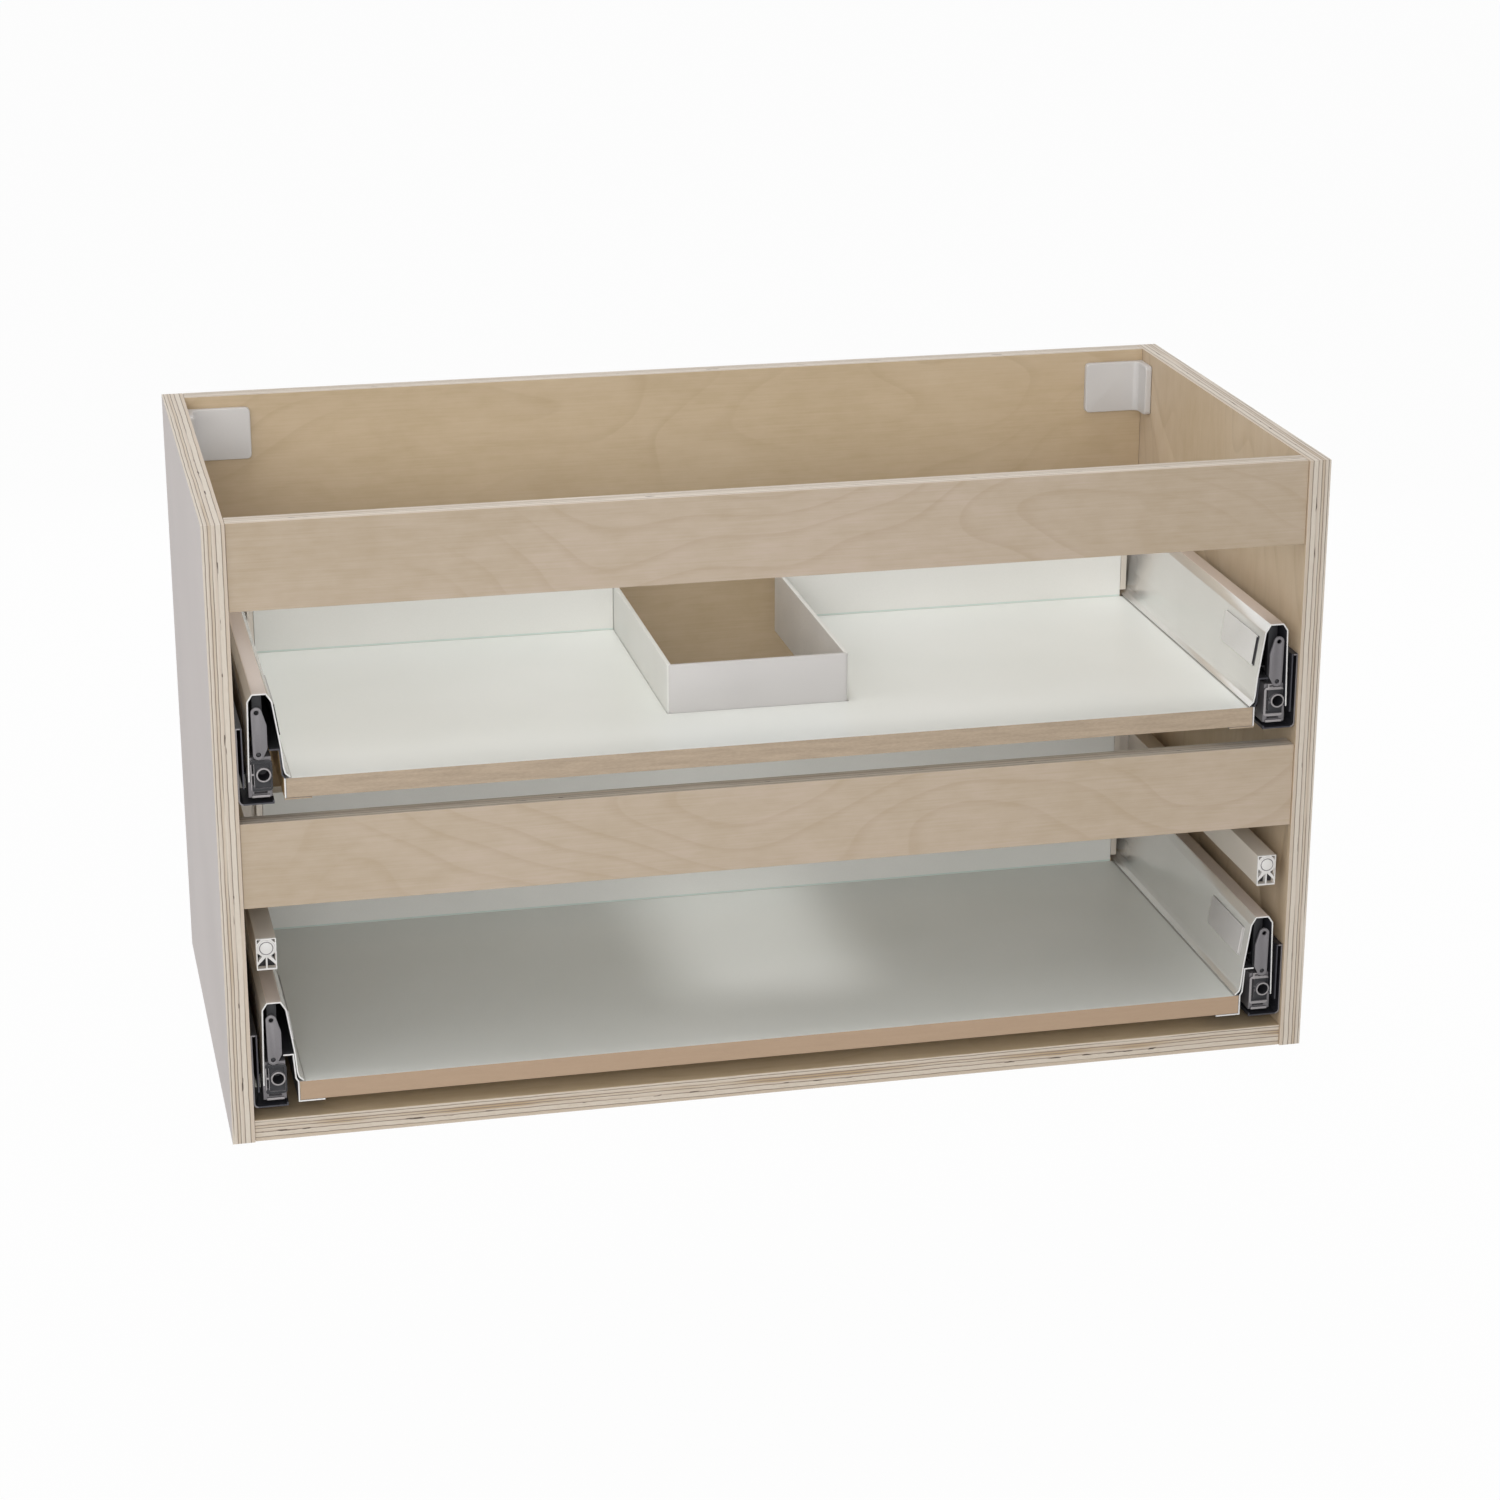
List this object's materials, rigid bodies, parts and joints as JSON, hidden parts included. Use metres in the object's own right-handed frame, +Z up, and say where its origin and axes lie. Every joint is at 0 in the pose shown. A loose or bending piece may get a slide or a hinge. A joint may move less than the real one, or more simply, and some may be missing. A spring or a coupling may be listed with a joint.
{
  "type": "wall-hung drawer cabinet",
  "caption": "Wall-hung drawer cabinet for a basin: plywood carcass open at the top, metal-sided drawers on telescopic runners, siphon recess and adjustable hangers; drawer fronts not fitted.",
  "frame": {"origin": "centre of the back panel's rear face, where the cabinet meets the wall", "axes": "+X to the right seen from the front, +Y towards the wall, +Z up"},
  "size_m": [0.9, 0.434, 0.51],
  "materials": {
    "birch_plywood": "bare sealed birch plywood, satin",
    "laminated_plywood": "smooth pinkish-grey coating on birch plywood, satin",
    "white_board": "white melamine on chipboard, satin",
    "white_plastic": "moulded white plastic, satin",
    "light_painted_steel": "light grey powder coat, satin",
    "cap_plastic": "light grey moulded plastic, satin",
    "runner_steel": "dark coated steel, satin",
    "grey_bracket": "mid-grey coated metal, matt",
    "zinc_plated_steel": "bright zinc plating",
    "pale_nylon": "moulded nylon, matt",
    "light_aluminium": "light anodised aluminium, satin"
  },
  "bodies": {
    "carcass": {"left_side_panel": "laminated_plywood", "right_side_panel": "laminated_plywood", "bottom_panel": "birch_plywood", "back_panel": "birch_plywood", "front_top_rail": "birch_plywood", "middle_rail": "birch_plywood", "hanger_cover_left": "white_plastic", "hanger_housing_left": "zinc_plated_steel", "hanger_cover_right": "white_plastic", "hanger_housing_right": "zinc_plated_steel", "upper_runner_left": "runner_steel", "upper_runner_right": "runner_steel", "lower_runner_left": "runner_steel", "lower_runner_right": "runner_steel"},
    "hanger_hook_left": {"hanger_hook_left": "zinc_plated_steel"},
    "hanger_hook_right": {"hanger_hook_right": "zinc_plated_steel"},
    "upper_drawer": {"upper_drawer_floor": "white_board", "upper_drawer_back_left": "white_board", "upper_drawer_back_right": "white_board", "siphon_recess": "white_plastic", "upper_metal_side_left": "light_painted_steel", "upper_floor_carrier_left": "light_painted_steel", "upper_front_bracket_left": "grey_bracket", "upper_rear_bracket_left": "light_painted_steel", "upper_cover_cap_left": "cap_plastic", "upper_metal_side_right": "light_painted_steel", "upper_floor_carrier_right": "light_painted_steel", "upper_front_bracket_right": "grey_bracket", "upper_rear_bracket_right": "light_painted_steel", "upper_cover_cap_right": "cap_plastic"},
    "upper_carriages": {"upper_carriage_left": "zinc_plated_steel", "upper_carriage_right": "zinc_plated_steel"},
    "upper_roller_left": {"upper_roller_left": "pale_nylon"},
    "upper_lock_lever_left": {"upper_lock_lever_left": "grey_bracket"},
    "upper_roller_right": {"upper_roller_right": "pale_nylon"},
    "upper_lock_lever_right": {"upper_lock_lever_right": "grey_bracket"},
    "lower_drawer": {"lower_drawer_floor": "white_board", "lower_drawer_back": "white_board", "lower_metal_side_left": "light_painted_steel", "lower_floor_carrier_left": "light_painted_steel", "lower_front_bracket_left": "grey_bracket", "lower_rear_bracket_left": "light_painted_steel", "lower_cover_cap_left": "cap_plastic", "lower_gallery_rail_left": "light_aluminium", "lower_gallery_plug_left": "white_plastic", "lower_metal_side_right": "light_painted_steel", "lower_floor_carrier_right": "light_painted_steel", "lower_front_bracket_right": "grey_bracket", "lower_rear_bracket_right": "light_painted_steel", "lower_cover_cap_right": "cap_plastic", "lower_gallery_rail_right": "light_aluminium", "lower_gallery_plug_right": "white_plastic"},
    "lower_carriages": {"lower_carriage_left": "zinc_plated_steel", "lower_carriage_right": "zinc_plated_steel"},
    "lower_roller_left": {"lower_roller_left": "pale_nylon"},
    "lower_lock_lever_left": {"lower_lock_lever_left": "grey_bracket"},
    "lower_roller_right": {"lower_roller_right": "pale_nylon"},
    "lower_lock_lever_right": {"lower_lock_lever_right": "grey_bracket"}
  },
  "joints": [
    {"name": "upper_drawer_slide", "type": "slide", "parent": "carcass", "child": "upper_drawer", "axis": [0, -1, 0], "range_m": [0, 0.33]},
    {"name": "upper_carriages_slide", "type": "slide", "parent": "carcass", "child": "upper_carriages", "axis": [0, -1, 0], "range_m": [0, 0.165]},
    {"name": "upper_roller_left_spin", "type": "hinge", "parent": "upper_carriages", "child": "upper_roller_left", "pos_m": [-0.4108, -0.386, 0.06608], "axis": [1, 0, 0], "range_deg": [0, 1576]},
    {"name": "upper_lock_lever_left_pivot", "type": "hinge", "parent": "upper_drawer", "child": "upper_lock_lever_left", "pos_m": [-0.4145, -0.4305, 0.0695], "axis": [0, 1, 0], "range_deg": [0, 6]},
    {"name": "upper_roller_right_spin", "type": "hinge", "parent": "upper_carriages", "child": "upper_roller_right", "pos_m": [0.4108, -0.386, 0.06608], "axis": [1, 0, 0], "range_deg": [0, 1576]},
    {"name": "upper_lock_lever_right_pivot", "type": "hinge", "parent": "upper_drawer", "child": "upper_lock_lever_right", "pos_m": [0.4145, -0.4305, 0.0695], "axis": [0, -1, 0], "range_deg": [0, 6]},
    {"name": "lower_drawer_slide", "type": "slide", "parent": "carcass", "child": "lower_drawer", "axis": [0, -1, 0], "range_m": [0, 0.33]},
    {"name": "lower_carriages_slide", "type": "slide", "parent": "carcass", "child": "lower_carriages", "axis": [0, -1, 0], "range_m": [0, 0.165]},
    {"name": "lower_roller_left_spin", "type": "hinge", "parent": "lower_carriages", "child": "lower_roller_left", "pos_m": [-0.4108, -0.386, -0.18992], "axis": [1, 0, 0], "range_deg": [0, 1576]},
    {"name": "lower_lock_lever_left_pivot", "type": "hinge", "parent": "lower_drawer", "child": "lower_lock_lever_left", "pos_m": [-0.4145, -0.4305, -0.1865], "axis": [0, 1, 0], "range_deg": [0, 6]},
    {"name": "lower_roller_right_spin", "type": "hinge", "parent": "lower_carriages", "child": "lower_roller_right", "pos_m": [0.4108, -0.386, -0.18992], "axis": [1, 0, 0], "range_deg": [0, 1576]},
    {"name": "lower_lock_lever_right_pivot", "type": "hinge", "parent": "lower_drawer", "child": "lower_lock_lever_right", "pos_m": [0.4145, -0.4305, -0.1865], "axis": [0, -1, 0], "range_deg": [0, 6]},
    {"name": "hanger_hook_left_lift", "type": "slide", "parent": "carcass", "child": "hanger_hook_left", "axis": [0, 0, 1], "range_m": [-0.003, 0.003]},
    {"name": "hanger_hook_right_lift", "type": "slide", "parent": "carcass", "child": "hanger_hook_right", "axis": [0, 0, 1], "range_m": [-0.003, 0.003]}
  ],
  "couplings": [
    {"joint": "upper_carriages_slide", "follows": "upper_drawer_slide", "ratio": 0.5},
    {"joint": "upper_roller_left_spin", "follows": "upper_drawer_slide", "rad_per_m": 83.333},
    {"joint": "upper_roller_right_spin", "follows": "upper_drawer_slide", "rad_per_m": 83.333},
    {"joint": "lower_carriages_slide", "follows": "lower_drawer_slide", "ratio": 0.5},
    {"joint": "lower_roller_left_spin", "follows": "lower_drawer_slide", "rad_per_m": 83.333},
    {"joint": "lower_roller_right_spin", "follows": "lower_drawer_slide", "rad_per_m": 83.333}
  ]
}
